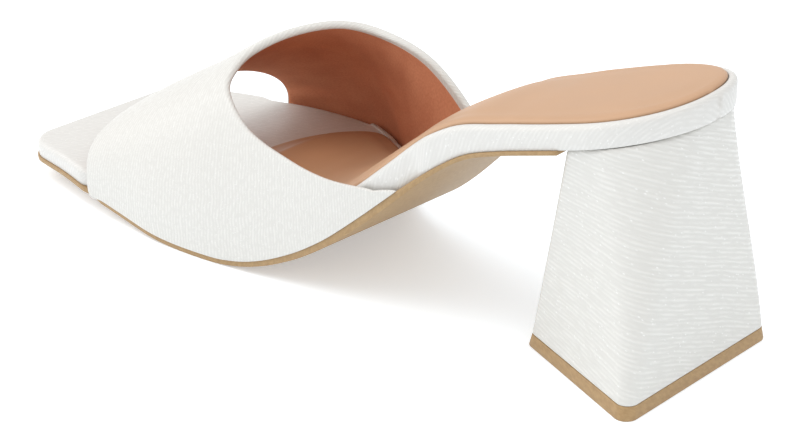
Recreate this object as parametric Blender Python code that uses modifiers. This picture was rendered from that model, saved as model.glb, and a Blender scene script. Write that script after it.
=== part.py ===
"""High-heeled slip-on sandal (mule), left foot: one wide band over a square toe.

Pieces, from the floor up: top_piece, heel, outsole, footbed, insole_sock, upper.
Shoe sizes are in millimetres until the last step, where MM turns them to metres.

Shoe coordinates: s runs forward from the back of the seat to the toe, x is positive
on the outer (lateral) side, z is up from the floor. In Blender the toe points to -Y.
"""

import math
from collections import namedtuple

import bmesh
import bpy

MM = 0.001

# --- driving dimensions ------------------------------------------------------------

LENGTH = 240.4          # back of the seat to the front edge of the toe, in plan
GAP = 0.3               # clearance between pieces that are glued together

SOLE_BACK = 29.9        # the outsole ends here, against the front of the heel
SOLE_BEVEL = 0.4

FOOTBED_INSET = 0.3     # its side stands this far inside the outsole's edge
FOOTBED_ROUND = 1.7     # rounded upper edge
FOOTBED_TUCK = 0.6      # its lower edge is pulled in by this much
BAND_MARGIN = 1.0       # it makes room for the band this far beyond the band's ends
TOE_CORNER = 9.0        # corner radius of the square toe, in plan

SEAT_DEPTH = 27.0       # length of the rounded back end of the seat
END_POWER = 2.2         # superellipse power of the rounded ends
END_FLAT = 0.15         # leaves a short straight edge at the very end

SOCK_INSET = 2.3        # sock edge to footbed edge
SOCK_FRONT = 175.0      # front end of the sock
SOCK_ROUND = 34.0       # length of its rounded front end
SOCK_THICKNESS = 1.2

WALL = 1.5              # upper: outer fabric, stiffener and lining together
UPPER_PROUD = 0.3       # the upper's side stands this far outside the outsole
UPPER_SIDE = 5.0        # height of its upright side before it arches over
BAND_TIP = 8.0          # its two back ends reach this much further at the bottom
UPPER_RAMP = 5.0        # the footbed widens over this length beyond the band

LIFT_THICKNESS = 3.5    # top piece under the heel
HEEL_FLARE_POWER = 1.6  # how late the base corners melt into the round seat

# The seat is a plane that falls forward from SEAT_HEIGHT at the back.
SEAT_HEIGHT = 67.6
SEAT_SLOPE = 0.256

# Middle of the whole shoe's box, which is the origin.
CENTRE_X = -10.45
CENTRE_S = 120.35

# --- tables ------------------------------------------------------------------------

# Outsole outline: half widths to the lateral and medial side of the s axis.
Plan = namedtuple("Plan", "s lateral medial")
PLAN = [
    Plan(27.0, 22.6, 22.9),
    Plan(40.0, 23.0, 21.8),
    Plan(60.0, 23.5, 20.1),
    Plan(80.0, 25.2, 20.6),
    Plan(100.0, 27.1, 24.2),
    Plan(120.0, 28.8, 29.5),
    Plan(140.0, 31.2, 42.0),
    Plan(155.0, 32.8, 51.2),
    Plan(170.0, 33.3, 54.2),
    Plan(185.0, 32.1, 53.0),
    Plan(200.0, 30.9, 49.4),
    Plan(220.0, 27.4, 42.7),
    Plan(241.0, 24.1, 35.6),
]

# Underside of the outsole: height above the floor. It is flat between the FLAT_SPOT rows.
Profile = namedtuple("Profile", "s height")
SEAT_FRONT = 46.0
FLAT_SPOT = (146.0, 158.0)
PROFILE = [
    Profile(SEAT_FRONT, SEAT_HEIGHT - SEAT_SLOPE * SEAT_FRONT),
    Profile(58.0, 51.9),
    Profile(70.0, 44.2),
    Profile(82.0, 34.0),
    Profile(94.0, 24.0),
    Profile(106.0, 14.9),
    Profile(118.0, 7.9),
    Profile(130.0, 2.9),
    Profile(138.0, 0.9),
    Profile(FLAT_SPOT[0], 0.0),
    Profile(FLAT_SPOT[1], 0.0),
    Profile(165.0, 0.2),
    Profile(180.0, 1.6),
    Profile(200.0, 3.9),
    Profile(220.0, 5.4),
    Profile(241.0, 5.6),
]

# Thickness of the outsole sheet and of the wrapped footbed, square to the surface, and
# how much higher the medial side is than the lateral one, under and on the footbed.
Build = namedtuple("Build", "s sole footbed sole_bank bank")
BUILD = [
    Build(0.0, 1.0, 5.9, 1.6, 3.2),
    Build(32.0, 0.9, 5.9, 1.2, 2.9),
    Build(48.0, 0.9, 6.2, 0.5, 1.9),
    Build(60.0, 0.9, 6.9, 0.0, 0.6),
    Build(72.0, 1.1, 7.7, 0.2, 0.0),
    Build(82.0, 1.6, 7.4, 0.0, 0.2),
    Build(97.0, 1.7, 7.4, -0.7, 0.8),
    Build(120.0, 1.6, 7.6, -0.4, 1.9),
    Build(138.0, 1.5, 7.4, 0.0, 2.6),
    Build(150.0, 1.5, 7.1, 0.0, 2.9),
    Build(180.0, 1.4, 6.2, 0.0, 2.3),
    Build(205.0, 1.3, 5.2, 0.0, 0.9),
    Build(241.0, 1.2, 4.7, 0.0, 0.0),
]

# How much higher the sock is along its middle than at its sides.
Padding = namedtuple("Padding", "s crown")
PADDING = [
    Padding(0.0, 0.3),
    Padding(45.0, 0.4),
    Padding(70.0, 1.5),
    Padding(88.0, 1.9),
    Padding(110.0, 1.4),
    Padding(135.0, 1.2),
    Padding(175.0, 1.2),
]

# Side profiles of two slabs: how far the side is pulled in at a height over its bottom.
SideStep = namedtuple("SideStep", "height inset")
FOOTBED_FOOT = [
    SideStep(0.0, FOOTBED_TUCK),
    SideStep(0.9, 0.25 * FOOTBED_TUCK),
    SideStep(2.0, 0.0),
]
SOCK_EDGE = [
    SideStep(0.0, 0.0),
    SideStep(0.4, 0.0),
    SideStep(0.95, 0.7),
    SideStep(SOCK_THICKNESS, 2.2),
]

# Cross-sections of the band: height over the outsole, sideways place of the crest,
# and the superellipse power (2 is an ellipse, less is more like a roof).
Band = namedtuple("Band", "s height crest power")
BAND = [
    Band(80.0, 82.3, -0.1, 1.80),
    Band(105.0, 75.8, -0.5, 1.85),
    Band(127.0, 66.9, -0.8, 1.92),
    Band(149.0, 57.5, -1.2, 1.99),
    Band(171.0, 44.2, -1.6, 2.05),
    Band(193.0, 29.9, -2.0, 2.11),
    Band(215.0, 14.0, -2.3, 2.17),
]

# Where the band begins and ends, by the angle round its section: 0 is the lateral
# side, 90 the crest and 180 the medial side.
Edge = namedtuple("Edge", "angle s")
THROAT = [
    Edge(0.0, 86.8),
    Edge(10.0, 102.4),
    Edge(20.0, 117.0),
    Edge(40.0, 141.0),
    Edge(60.0, 153.0),
    Edge(75.0, 154.5),
    Edge(90.0, 148.0),
    Edge(120.0, 132.0),
    Edge(150.0, 108.5),
    Edge(180.0, 88.5),
]
TOE_OPENING = [
    Edge(0.0, 202.0),
    Edge(45.0, 204.5),
    Edge(90.0, 203.0),
    Edge(120.0, 197.0),
    Edge(150.0, 198.0),
    Edge(180.0, 200.0),
]

# Heel sections: a four-sided plan with rounded back corners, at the floor and at the
# seat. Half widths are at the back and front edges, and centre is their middle.
HeelSection = namedtuple("HeelSection", "back front back_half front_half centre round")
HEEL_BASE = HeelSection(3.4, 47.5, 30.5, 13.1, -0.9, 3.0)
HEEL_SEAT = HeelSection(2.4, 29.2, 21.0, 21.3, -0.15, 18.0)
HEEL_FRONT_ROUND = 2.4

# Grid steps.
SLOPE_STEP = 4.0
END_STEPS = 8
BODY_STEPS = 26
BAND_ROWS = 26
BAND_COLUMNS = 22
HEEL_LEVELS = 14
CORNER_STEPS = 9
SOCK_COLUMNS = 6
ROUND_STEPS = 3
SHARP_ANGLE = 32.0      # edges sharper than this many degrees stay crisp

# --- curves through the tables ---------------------------------------------------------


def column(table, name):
    """One named column of a table as a list."""
    return [getattr(row, name) for row in table]


def slopes(xs, ys):
    """Slopes at the rows that keep each stretch between its two rows."""
    steps = [(ys[i + 1] - ys[i]) / (xs[i + 1] - xs[i]) for i in range(len(xs) - 1)]
    middle = []
    for i in range(1, len(xs) - 1):
        before, after = steps[i - 1], steps[i]
        if before * after <= 0.0:
            middle.append(0.0)
            continue
        w1 = 2.0 * (xs[i + 1] - xs[i]) + (xs[i] - xs[i - 1])
        w2 = (xs[i + 1] - xs[i]) + 2.0 * (xs[i] - xs[i - 1])
        middle.append((w1 + w2) / (w1 / before + w2 / after))
    return [steps[0]] + middle + [steps[-1]]


def curve(table, x_name, y_name):
    """A smooth function through two columns of a table."""
    xs = column(table, x_name)
    ys = column(table, y_name)
    ms = slopes(xs, ys)

    def value(x):
        x = min(max(x, xs[0]), xs[-1])
        i = max(k for k in range(len(xs) - 1) if xs[k] <= x or k == 0)
        width = xs[i + 1] - xs[i]
        t = (x - xs[i]) / width
        rise_part = ys[i] * (1 + 2 * t) * (1 - t) ** 2 + ys[i + 1] * t * t * (3 - 2 * t)
        slope_part = ms[i] * t * (1 - t) ** 2 - ms[i + 1] * t * t * (1 - t)
        return rise_part + width * slope_part

    return value


plan_lateral = curve(PLAN, "s", "lateral")
plan_medial = curve(PLAN, "s", "medial")
profile_height = curve(PROFILE, "s", "height")
sole_thickness = curve(BUILD, "s", "sole")
footbed_thickness = curve(BUILD, "s", "footbed")
sole_bank = curve(BUILD, "s", "sole_bank")
footbed_bank = curve(BUILD, "s", "bank")
sock_padding = curve(PADDING, "s", "crown")
band_height = curve(BAND, "s", "height")
band_crest = curve(BAND, "s", "crest")
band_power = curve(BAND, "s", "power")
throat_edge = curve(THROAT, "angle", "s")
toe_edge = curve(TOE_OPENING, "angle", "s")


def mix(a, b, t):
    """Value from a to b."""
    return a + (b - a) * t


def rise(s):
    """Height of the outsole's underside over the floor."""
    if s < SEAT_FRONT:
        return SEAT_HEIGHT - SEAT_SLOPE * s
    return profile_height(s)


def side_edge(half_width, s, outside):
    """Half width of the outline moved square to itself, outside being positive."""
    slope = (half_width(s + SLOPE_STEP) - half_width(s - SLOPE_STEP)) / (2 * SLOPE_STEP)
    return half_width(s) + outside * math.sqrt(1.0 + slope * slope)


def above(s, thickness):
    """Height over the floor of a level this far above the outsole's underside."""
    slope = (rise(s + SLOPE_STEP) - rise(s - SLOPE_STEP)) / (2 * SLOPE_STEP)
    return rise(s) + thickness * math.sqrt(1.0 + slope * slope)


def banked(x, s, bank):
    """Extra height at x of a level whose medial edge is bank(s) higher."""
    lateral, medial = plan_lateral(s), plan_medial(s)
    return bank(s) * (lateral - x) / (lateral + medial)


def smooth_step(t):
    """0 to 1 with soft ends."""
    t = min(max(t, 0.0), 1.0)
    return t * t * (3 - 2 * t)


# --- flat pieces: outsole, footbed, sock ---------------------------------------------

# A layer's plan: it runs from back to front. Its ends are rounded over back_round and
# front_round, or have corners of radius front_corner. inset(s) is taken off each side.
# A level of it is a ring: pulled in by inset, height(s) up, its medial side bank(s) up.
Layer = namedtuple("Layer", "back back_round front front_round front_corner inset")
Level = namedtuple("Level", "inset height bank")


def stations(layer, inset):
    """Values of s for one ring of a layer, finer at the rounded ends."""
    values = []
    body_start = layer.back
    if layer.back_round:
        body_start = layer.back + layer.back_round
        for i in range(END_STEPS):
            angle = math.pi / 2 * i / END_STEPS
            values.append(body_start - (layer.back_round - inset) * math.cos(angle))
    body_end = layer.front - layer.front_round - layer.front_corner
    body = [mix(body_start, body_end, i / BODY_STEPS) for i in range(BODY_STEPS + 1)]
    if not layer.back_round:
        body[0] += inset
    for fixed in FLAT_SPOT:
        nearest = min(range(1, BODY_STEPS), key=lambda i: abs(body[i] - fixed))
        body[nearest] = fixed
    values.extend(body)
    reach = layer.front_round + layer.front_corner - inset
    for i in range(1, END_STEPS + 1):
        angle = math.pi / 2 * i / END_STEPS
        values.append(body_end + reach * math.sin(angle))
    return values


def end_factor(distance, depth):
    """Width of a rounded end, 0 to 1, at a distance in from its tip."""
    if distance >= depth:
        return 1.0
    k = (depth - distance) / (depth + END_FLAT)
    return (1.0 - k ** END_POWER) ** (1.0 / END_POWER)


def half_widths(layer, s, inset):
    """Lateral and medial edge of a layer at s, as x values."""
    side = layer.inset(s) + inset
    lateral = side_edge(plan_lateral, s, -side)
    medial = -side_edge(plan_medial, s, -side)
    factor = 1.0
    if layer.back_round:
        factor *= end_factor(s - layer.back - inset, layer.back_round - inset)
    if layer.front_round:
        factor *= end_factor(layer.front - inset - s, layer.front_round - inset)
    middle = (lateral + medial) / 2
    half = (lateral - medial) / 2 * factor
    if layer.front_corner:
        radius = layer.front_corner - inset
        into = max(s - (layer.front - layer.front_corner), 0.0)
        half -= radius - math.sqrt(max(radius * radius - into * into, 0.0))
    return middle + half, middle - half


def to_world(x, s, z):
    """Shoe millimetres to Blender metres."""
    return ((x - CENTRE_X) * MM, (CENTRE_S - s) * MM, z * MM)


def layer_ring(mesh, layer, level):
    """One closed ring of vertices, as a lateral and a medial row from back to front."""
    rows = [], []
    for s in stations(layer, level.inset):
        for row, x in zip(rows, half_widths(layer, s, level.inset)):
            z = above(s, level.height(s)) + banked(x, s, level.bank)
            row.append(mesh.verts.new(to_world(x, s, z)))
    return rows


def loop_of(ring):
    """The ring's vertices in order, seen from above: lateral forward, medial back."""
    lateral_row, medial_row = ring
    return lateral_row + medial_row[::-1]


def bridge(mesh, lower, upper):
    """Side faces between two closed loops of equal length."""
    count = len(lower)
    for i in range(count):
        j = (i + 1) % count
        mesh.faces.new((lower[i], upper[i], upper[j], lower[j]))


def cap(mesh, ring, columns, crown, facing_up):
    """Close a ring with strips across, raised by crown(across, s) between its sides."""
    pairs = list(zip(*ring))
    rows = []
    for lateral, medial in pairs:
        row = [lateral]
        at_end = lateral is pairs[0][0] or lateral is pairs[-1][0]
        for k in range(1, 1 if at_end else columns):
            place = lateral.co.lerp(medial.co, k / columns)
            place.z += crown(2 * k / columns - 1, CENTRE_S - place.y / MM) * MM
            row.append(mesh.verts.new(place))
        row.append(medial)
        rows.append(row)
    for near, far in zip(rows, rows[1:]):
        if len(near) != len(far):
            strips = [near + far[::-1]]
        else:
            strips = [(near[k], near[k + 1], far[k + 1], far[k]) for k in range(len(near) - 1)]
        for strip in strips:
            mesh.faces.new(strip if facing_up else strip[::-1])


def flat(across, s):
    """A cap without a crown."""
    return 0.0


def layer_object(name, layer, levels, columns=1, crown=flat):
    """A closed slab built from its levels, lowest first."""
    mesh = bmesh.new()
    rings = [layer_ring(mesh, layer, level) for level in levels]
    for lower, upper in zip(rings, rings[1:]):
        bridge(mesh, loop_of(lower), loop_of(upper))
    cap(mesh, rings[0], 1, flat, facing_up=False)
    cap(mesh, rings[-1], columns, crown, facing_up=True)
    return finish(name, mesh)


# --- objects and materials ---------------------------------------------------------------


def material(name, colour, roughness):
    """A plain Principled material in linear colour."""
    made = bpy.data.materials.new(name)
    made.use_nodes = True
    shader = made.node_tree.nodes["Principled BSDF"]
    shader.inputs["Base Color"].default_value = (*colour, 1.0)
    shader.inputs["Roughness"].default_value = roughness
    shader.inputs["Metallic"].default_value = 0.0
    made.diffuse_color = (*colour, 1.0)
    return made


FINISHES = {
    "top_piece": ((0.46, 0.31, 0.18), 0.55),
    "heel": ((0.80, 0.80, 0.78), 0.45),
    "outsole": ((0.44, 0.30, 0.17), 0.55),
    "footbed": ((0.80, 0.80, 0.78), 0.45),
    "insole_sock": ((0.68, 0.40, 0.26), 0.50),
    "upper": ((0.80, 0.80, 0.78), 0.45),
}


def new_collection(name):
    """A collection in the scene."""
    made = bpy.data.collections.new(name)
    bpy.context.scene.collection.children.link(made)
    return made


def finish(name, mesh):
    """Turn a bmesh into a smooth-shaded object with its material."""
    bmesh.ops.recalc_face_normals(mesh, faces=mesh.faces)
    data = bpy.data.meshes.new(name)
    mesh.to_mesh(data)
    mesh.free()
    data.shade_smooth()
    data.set_sharp_from_angle(angle=math.radians(SHARP_ANGLE))
    colour, roughness = FINISHES[name]
    data.materials.append(material(name + "_finish", colour, roughness))
    made = bpy.data.objects.new(name, data)
    bpy.data.collections["sandal"].objects.link(made)
    return made


# --- pieces --------------------------------------------------------------------------------


def no_inset(s):
    """The outsole has the full outline."""
    return 0.0


def footbed_inset(s):
    """The footbed makes room for the upper's wall between the band's two ends."""
    covered = WALL - UPPER_PROUD + 2 * GAP
    back = min(column(THROAT, "s")) - BAND_TIP - BAND_MARGIN
    front = max(toe_edge(0.0), toe_edge(180.0)) + BAND_MARGIN
    inside = smooth_step(1 + (s - back) / UPPER_RAMP) * smooth_step(1 + (front - s) / UPPER_RAMP)
    return mix(FOOTBED_INSET, covered, inside)


def footbed_bottom(s):
    """The footbed starts this far over the outsole's underside."""
    return sole_thickness(s) + GAP


def footbed_top(s):
    """And ends this far over it."""
    return footbed_bottom(s) + footbed_thickness(s)


def make_outsole():
    """Thin sheet from the toe to the front of the heel."""
    layer = Layer(SOLE_BACK, 0.0, LENGTH, 0.0, TOE_CORNER, no_inset)
    levels = [
        Level(SOLE_BEVEL, lambda s: 0.0, sole_bank),
        Level(0.0, lambda s: SOLE_BEVEL, sole_bank),
        Level(0.0, sole_thickness, sole_bank),
    ]
    return layer_object("outsole", layer, levels)


def make_footbed():
    """Wrapped footbed with a rounded upper edge, under the whole foot."""
    layer = Layer(FOOTBED_INSET, SEAT_DEPTH, LENGTH - FOOTBED_INSET, 0.0, TOE_CORNER, footbed_inset)

    def from_bottom(height):
        return lambda s: footbed_bottom(s) + height

    def from_top(depth):
        return lambda s: footbed_top(s) - depth

    levels = [Level(step.inset, from_bottom(step.height), sole_bank) for step in FOOTBED_FOOT]
    for step in range(ROUND_STEPS + 1):
        angle = math.pi / 2 * step / ROUND_STEPS
        inset = FOOTBED_ROUND * (1 - math.cos(angle))
        depth = FOOTBED_ROUND * (1 - math.sin(angle))
        levels.append(Level(inset, from_top(depth), footbed_bank))
    return layer_object("footbed", layer, levels)


def make_insole_sock():
    """Padded sock on the footbed, ending in a broad round front."""
    def inset(s):
        return footbed_inset(s) + SOCK_INSET

    back = FOOTBED_INSET + SOCK_INSET
    layer = Layer(back, SEAT_DEPTH - SOCK_INSET, SOCK_FRONT, SOCK_ROUND, 0.0, inset)

    def height(over_footbed):
        return lambda s: footbed_top(s) + GAP + over_footbed

    def crown(across, s):
        return sock_padding(s) * (1 - across * across)

    levels = [Level(step.inset, height(step.height), footbed_bank) for step in SOCK_EDGE]
    return layer_object("insole_sock", layer, levels, SOCK_COLUMNS, crown)


def band_foot(x, s):
    """Height over the floor of the outsole's top, which the band stands on."""
    return above(s, sole_thickness(s)) + banked(x, s, sole_bank)


def band_point(angle, s):
    """A point on the band's outer face, at an angle round its section."""
    lateral = side_edge(plan_lateral, s, UPPER_PROUD)
    medial = side_edge(plan_medial, s, UPPER_PROUD)
    crest = band_crest(s)
    power = 2.0 / band_power(s)
    cosine = math.cos(math.radians(angle))
    sine = abs(math.sin(math.radians(angle)))
    reach = lateral - crest if cosine > 0 else medial + crest
    x = crest + math.copysign(abs(cosine) ** power, cosine) * reach
    arch = (band_height(s) - UPPER_SIDE) * sine ** power
    return x, s, band_foot(x, s) + UPPER_SIDE + arch


def side_point(angle, height, k):
    """A point on the band's upright side; its throat end leans back to a point."""
    lean = BAND_TIP * (1 - height / UPPER_SIDE)
    s = mix(toe_edge(angle), throat_edge(angle) - lean, k / BAND_COLUMNS)
    x = side_edge(plan_lateral, s, UPPER_PROUD)
    if angle > 0.0:
        x = -side_edge(plan_medial, s, UPPER_PROUD)
    return x, s, band_foot(x, s) + height


def band_grid():
    """Rows round the section, with columns from the toe opening to the throat."""
    columns = range(BAND_COLUMNS + 1)
    sides = [GAP, UPPER_SIDE / 2]
    rows = [[side_point(0.0, height, k) for k in columns] for height in sides]
    for row in range(BAND_ROWS + 1):
        angle = 180.0 * row / BAND_ROWS
        ends = toe_edge(angle), throat_edge(angle)
        rows.append([band_point(angle, mix(*ends, k / BAND_COLUMNS)) for k in columns])
    rows += [[side_point(180.0, height, k) for k in columns] for height in reversed(sides)]
    return rows


def make_upper():
    """One hollow band, open at the throat, the toe and underneath."""
    mesh = bmesh.new()
    grid = [[mesh.verts.new(to_world(*point)) for point in row] for row in band_grid()]
    for low, high in zip(grid, grid[1:]):
        for k in range(BAND_COLUMNS):
            mesh.faces.new((low[k], high[k], high[k + 1], low[k + 1]))
    band = finish("upper", mesh)
    shell = band.modifiers.new("wall", "SOLIDIFY")
    shell.thickness = WALL * MM
    shell.offset = -1.0
    shell.use_even_offset = True
    shell.use_quality_normals = True
    return band


def rounded_corner(before, corner, after, radius):
    """Points of an arc that rounds a corner of a plan."""
    def unit_to(point):
        dx, dy = point[0] - corner[0], point[1] - corner[1]
        length = math.hypot(dx, dy)
        return dx / length, dy / length

    ax, ay = unit_to(before)
    bx, by = unit_to(after)
    half = math.acos(ax * bx + ay * by) / 2
    bisector = math.hypot(ax + bx, ay + by)
    reach = radius / math.sin(half)
    centre = (corner[0] + (ax + bx) / bisector * reach, corner[1] + (ay + by) / bisector * reach)
    run = radius / math.tan(half)
    start = math.atan2(corner[1] + ay * run - centre[1], corner[0] + ax * run - centre[0])
    end = math.atan2(corner[1] + by * run - centre[1], corner[0] + bx * run - centre[0])
    sweep = (end - start + math.pi) % (2 * math.pi) - math.pi
    points = []
    for i in range(CORNER_STEPS + 1):
        angle = start + sweep * i / CORNER_STEPS
        points.append((centre[0] + radius * math.cos(angle), centre[1] + radius * math.sin(angle)))
    return points


def heel_section(t):
    """Closed plan of the heel, t from the floor (0) to the seat (1)."""
    base, seat = HEEL_BASE, HEEL_SEAT
    section = HeelSection(*(mix(a, b, t) for a, b in zip(base, seat)))
    back_round = mix(base.round, seat.round, t ** HEEL_FLARE_POWER)
    corners = [
        (section.centre + section.front_half, section.front, HEEL_FRONT_ROUND),
        (section.centre - section.front_half, section.front, HEEL_FRONT_ROUND),
        (section.centre - section.back_half, section.back, back_round),
        (section.centre + section.back_half, section.back, back_round),
    ]
    points = []
    for i, (x, s, radius) in enumerate(corners):
        before = corners[i - 1][:2]
        after = corners[(i + 1) % 4][:2]
        points.extend(rounded_corner(before, (x, s), after, radius))
    return points


def heel_ring(mesh, bottom, t):
    """Ring of the heel, t from a level at the height bottom (0) to the seat plane (1)."""
    ring = []
    for x, s in heel_section(mix(bottom / SEAT_HEIGHT, 1.0, t)):
        z = mix(bottom, above(s, sole_thickness(s)) + banked(x, s, sole_bank), t)
        ring.append(mesh.verts.new(to_world(x, s, z)))
    return ring


def loft(name, rings, mesh):
    """Close a stack of rings into a solid."""
    for lower, upper in zip(rings, rings[1:]):
        bridge(mesh, lower, upper)
    mesh.faces.new(rings[0])
    mesh.faces.new(rings[-1][::-1])
    return finish(name, mesh)


def make_heel():
    """Flared block heel, wide at the back of its base and round at the seat."""
    mesh = bmesh.new()
    bottom = LIFT_THICKNESS + GAP
    rings = [heel_ring(mesh, bottom, level / HEEL_LEVELS) for level in range(HEEL_LEVELS + 1)]
    return loft("heel", rings, mesh)


def make_top_piece():
    """Wearing layer under the heel."""
    mesh = bmesh.new()
    rings = [heel_ring(mesh, height, 0.0) for height in (0.0, LIFT_THICKNESS)]
    return loft("top_piece", rings, mesh)


def main():
    """Clear the file and build every piece."""
    for item in list(bpy.data.objects):
        bpy.data.objects.remove(item, do_unlink=True)
    new_collection("sandal")
    make_top_piece()
    make_heel()
    make_outsole()
    make_footbed()
    make_insole_sock()
    make_upper()


main()
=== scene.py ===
"""Left mule sandal with a flared block heel: its cloth, lining, padding and light."""

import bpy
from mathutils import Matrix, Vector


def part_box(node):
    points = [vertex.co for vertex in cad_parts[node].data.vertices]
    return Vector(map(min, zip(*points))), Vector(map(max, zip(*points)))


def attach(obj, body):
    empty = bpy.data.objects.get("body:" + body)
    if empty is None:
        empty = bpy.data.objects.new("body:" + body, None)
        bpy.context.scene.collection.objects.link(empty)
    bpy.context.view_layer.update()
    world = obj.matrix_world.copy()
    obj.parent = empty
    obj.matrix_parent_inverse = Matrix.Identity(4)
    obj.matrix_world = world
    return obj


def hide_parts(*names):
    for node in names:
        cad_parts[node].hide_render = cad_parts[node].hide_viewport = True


bl_info = {
    "name": "Block Heel Mule",
    "version": (1, 0, 0),
    "blender": (4, 5, 0),
    "location": "View3D > Sidebar > Mule",
    "description": "Dresses a block-heeled mule sandal in cloth, lining and padding",
    "category": "Object",
}

import math
from collections import namedtuple

import bmesh
import bpy
import numpy as np
from mathutils import Matrix, Vector

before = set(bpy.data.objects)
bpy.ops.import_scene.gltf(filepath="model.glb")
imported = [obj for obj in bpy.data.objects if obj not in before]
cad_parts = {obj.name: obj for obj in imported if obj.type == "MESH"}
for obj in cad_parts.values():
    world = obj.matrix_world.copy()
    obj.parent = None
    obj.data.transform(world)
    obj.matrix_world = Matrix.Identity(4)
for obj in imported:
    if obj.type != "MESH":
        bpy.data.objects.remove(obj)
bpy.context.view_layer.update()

MM = 0.001

# --- the shoe's own measures, in millimetres -------------------------------------------------
# s runs forward from the back of the seat, x is positive on the outer side, z is up.

LENGTH = 240.4
GAP = 0.3               # hairline gap between two pieces
SOLE_BACK = 29.9
FOOTBED_INSET = 0.3
FOOTBED_ROUND = 1.7
FOOTBED_TUCK = 0.6
TOE_CORNER = 9.0
SEAT_DEPTH = 27.0
END_POWER = 2.2
SOCK_INSET = 2.3
SOCK_FRONT = 175.0
SOCK_ROUND = 34.0
WALL = 1.5
UPPER_PROUD = 0.3
UPPER_SIDE = 5.0
BAND_TIP = 9.6
BAND_MARGIN = 1.0
UPPER_RAMP = 5.0
LIFT_THICKNESS = 3.5
HEEL_FLARE_POWER = 1.6
HEEL_FRONT_ROUND = 2.4
SEAT_HEIGHT = 67.6
SEAT_SLOPE = 0.256
SEAT_FRONT = 46.0

# The shoe's axis and its back end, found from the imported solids.
CENTRE_X = 33.3 + UPPER_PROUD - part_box("upper")[1][0] / MM
CENTRE_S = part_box("footbed")[1][1] / MM + FOOTBED_INSET

# The outline from above: how far it reaches from the axis on the outer and inner side.
Plan = namedtuple("Plan", "s lateral medial")
PLAN = [
    Plan(27.0, 22.6, 22.9),
    Plan(40.0, 23.0, 21.8),
    Plan(60.0, 23.5, 20.1),
    Plan(80.0, 25.2, 20.6),
    Plan(100.0, 27.1, 24.2),
    Plan(120.0, 28.8, 29.5),
    Plan(140.0, 31.2, 42.0),
    Plan(155.0, 32.8, 51.2),
    Plan(170.0, 33.3, 54.2),
    Plan(185.0, 32.1, 53.0),
    Plan(200.0, 30.9, 49.4),
    Plan(220.0, 27.4, 42.7),
    Plan(241.0, 24.1, 35.6),
]

# Height of the outsole's underside over the floor, in front of the seat.
Profile = namedtuple("Profile", "s height")
PROFILE = [
    Profile(SEAT_FRONT, SEAT_HEIGHT - SEAT_SLOPE * SEAT_FRONT),
    Profile(58.0, 51.9),
    Profile(70.0, 44.2),
    Profile(82.0, 34.0),
    Profile(94.0, 24.0),
    Profile(106.0, 14.9),
    Profile(118.0, 7.9),
    Profile(130.0, 2.9),
    Profile(138.0, 0.9),
    Profile(146.0, 0.0),
    Profile(158.0, 0.0),
    Profile(165.0, 0.2),
    Profile(180.0, 1.6),
    Profile(200.0, 3.9),
    Profile(220.0, 5.4),
    Profile(241.0, 5.6),
]

# Thickness of sheet and footbed, and how much higher the inner edge of each one lies.
Build = namedtuple("Build", "s sole footbed sole_bank bank")
BUILD = [
    Build(0.0, 1.0, 5.9, 1.6, 3.2),
    Build(32.0, 0.9, 5.9, 1.2, 2.9),
    Build(48.0, 0.9, 6.2, 0.5, 1.9),
    Build(60.0, 0.9, 6.9, 0.0, 0.6),
    Build(72.0, 1.1, 7.7, 0.2, 0.0),
    Build(82.0, 1.6, 7.4, 0.0, 1.0),
    Build(97.0, 1.7, 7.4, -0.7, 3.0),
    Build(120.0, 1.6, 7.6, -0.4, 4.6),
    Build(138.0, 1.5, 7.4, 0.0, 5.2),
    Build(150.0, 1.5, 7.1, 0.0, 4.2),
    Build(180.0, 1.4, 6.2, 0.0, 2.3),
    Build(205.0, 1.3, 5.2, 0.0, 0.9),
    Build(241.0, 1.2, 4.7, 0.0, 0.0),
]

# How much higher the sock is along its middle than at its sides.
Padding = namedtuple("Padding", "s crown")
PADDING = [
    Padding(0.0, 0.3),
    Padding(45.0, 0.4),
    Padding(70.0, 1.5),
    Padding(88.0, 1.9),
    Padding(110.0, 1.4),
    Padding(135.0, 1.2),
    Padding(175.0, 1.2),
]

# The arch's height over the sheet, where its crest lies, and how full it is.
Band = namedtuple("Band", "s height crest power")
BAND = [
    Band(80.0, 82.3, -0.1, 1.80),
    Band(105.0, 75.8, -0.5, 1.85),
    Band(127.0, 66.9, -0.8, 1.92),
    Band(149.0, 57.5, -1.2, 1.99),
    Band(171.0, 44.2, -1.6, 2.05),
    Band(193.0, 29.9, -2.0, 2.11),
    Band(215.0, 14.0, -2.3, 2.17),
]

# The band's two edges, by the angle round the arch, 0 on the outer side.
Edge = namedtuple("Edge", "angle s")
THROAT = [
    Edge(0.0, 86.8),
    Edge(10.0, 102.4),
    Edge(20.0, 117.0),
    Edge(40.0, 141.0),
    Edge(60.0, 153.0),
    Edge(75.0, 154.5),
    Edge(90.0, 148.0),
    Edge(120.0, 132.0),
    Edge(150.0, 108.5),
    Edge(180.0, 88.5),
]
TOE_OPENING = [
    Edge(0.0, 202.0),
    Edge(45.0, 204.5),
    Edge(90.0, 203.0),
    Edge(120.0, 197.0),
    Edge(150.0, 198.0),
    Edge(180.0, 200.0),
]

# The heel's plan at the floor and at the seat.
HeelSection = namedtuple("HeelSection", "back front back_half front_half centre round")
HEEL_BASE = HeelSection(3.4, 47.5, 30.5, 13.1, -0.9, 3.0)
HEEL_SEAT = HeelSection(2.4, 29.2, 21.0, 21.3, -0.15, 18.0)


# --- curves ----------------------------------------------------------------------------------


def mix(a, b, t):
    """Value from a to b."""
    return a + (b - a) * t


def smooth_step(t):
    """0 to 1 with soft ends."""
    t = min(max(t, 0.0), 1.0)
    return t * t * (3 - 2 * t)


def bump(x, middle, reach):
    """1 at the middle, falling softly to 0 over the reach."""
    return math.exp(-((x - middle) / reach) ** 2)


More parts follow.
